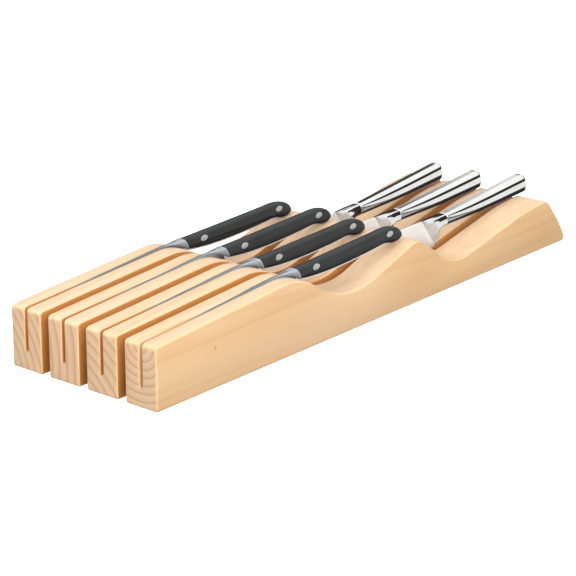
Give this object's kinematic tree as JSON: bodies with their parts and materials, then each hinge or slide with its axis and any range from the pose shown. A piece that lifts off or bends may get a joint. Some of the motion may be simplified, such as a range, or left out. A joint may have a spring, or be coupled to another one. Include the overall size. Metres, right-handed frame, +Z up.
{
  "type": "knife block with knives",
  "caption": "Low wooden drawer knife block of grooved rails with wavy tops, holding riveted black-handled steak knives in saw kerfs and steel-handled paring knives in the slots between.",
  "frame": {"origin": "middle of the block's underside", "axes": "+X along the block from the blade tips to the handles, +Y across the rails, +Z up"},
  "size_m": [0.4318, 0.1206, 0.0548],
  "materials": {
    "pine": "smooth planed pine, fine straight grain, clear satin finish",
    "spacer_pine": "planed pine, unfinished",
    "blade_steel": "satin ground stainless steel",
    "polished_steel": "mirror polished stainless steel",
    "rivet_steel": "fine satin steel",
    "black_resin": "satin moulded resin"
  },
  "bodies": {
    "block": {"rail_1": "pine", "rail_2": "pine", "rail_3": "pine", "rail_4": "pine", "spacer_strip_1": "spacer_pine", "spacer_strip_2": "spacer_pine", "spacer_strip_3": "spacer_pine"},
    "steak_knife_1": {"steak_knife_1_blade": "blade_steel", "steak_knife_1_near_scale": "black_resin", "steak_knife_1_far_scale": "black_resin", "steak_knife_1_front_rivet": "rivet_steel", "steak_knife_1_rear_rivet": "rivet_steel"},
    "steak_knife_2": {"steak_knife_2_blade": "blade_steel", "steak_knife_2_near_scale": "black_resin", "steak_knife_2_far_scale": "black_resin", "steak_knife_2_front_rivet": "rivet_steel", "steak_knife_2_rear_rivet": "rivet_steel"},
    "steak_knife_3": {"steak_knife_3_blade": "blade_steel", "steak_knife_3_near_scale": "black_resin", "steak_knife_3_far_scale": "black_resin", "steak_knife_3_front_rivet": "rivet_steel", "steak_knife_3_rear_rivet": "rivet_steel"},
    "steak_knife_4": {"steak_knife_4_blade": "blade_steel", "steak_knife_4_near_scale": "black_resin", "steak_knife_4_far_scale": "black_resin", "steak_knife_4_front_rivet": "rivet_steel", "steak_knife_4_rear_rivet": "rivet_steel"},
    "paring_knife_1": {"paring_knife_1_blade": "blade_steel", "paring_knife_1_bolster": "polished_steel", "paring_knife_1_handle": "polished_steel"},
    "paring_knife_2": {"paring_knife_2_blade": "blade_steel", "paring_knife_2_bolster": "polished_steel", "paring_knife_2_handle": "polished_steel"},
    "paring_knife_3": {"paring_knife_3_blade": "blade_steel", "paring_knife_3_bolster": "polished_steel", "paring_knife_3_handle": "polished_steel"}
  },
  "joints": [
    {"name": "steak_knife_1_lift", "type": "slide", "parent": "block", "child": "steak_knife_1", "axis": [0, 0, 1], "range_m": [0, 0.04]},
    {"name": "steak_knife_2_lift", "type": "slide", "parent": "block", "child": "steak_knife_2", "axis": [0, 0, 1], "range_m": [0, 0.04]},
    {"name": "steak_knife_3_lift", "type": "slide", "parent": "block", "child": "steak_knife_3", "axis": [0, 0, 1], "range_m": [0, 0.04]},
    {"name": "steak_knife_4_lift", "type": "slide", "parent": "block", "child": "steak_knife_4", "axis": [0, 0, 1], "range_m": [0, 0.04]},
    {"name": "paring_knife_1_lift", "type": "slide", "parent": "block", "child": "paring_knife_1", "axis": [0, 0, 1], "range_m": [0, 0.055]},
    {"name": "paring_knife_2_lift", "type": "slide", "parent": "block", "child": "paring_knife_2", "axis": [0, 0, 1], "range_m": [0, 0.055]},
    {"name": "paring_knife_3_lift", "type": "slide", "parent": "block", "child": "paring_knife_3", "axis": [0, 0, 1], "range_m": [0, 0.055]}
  ]
}
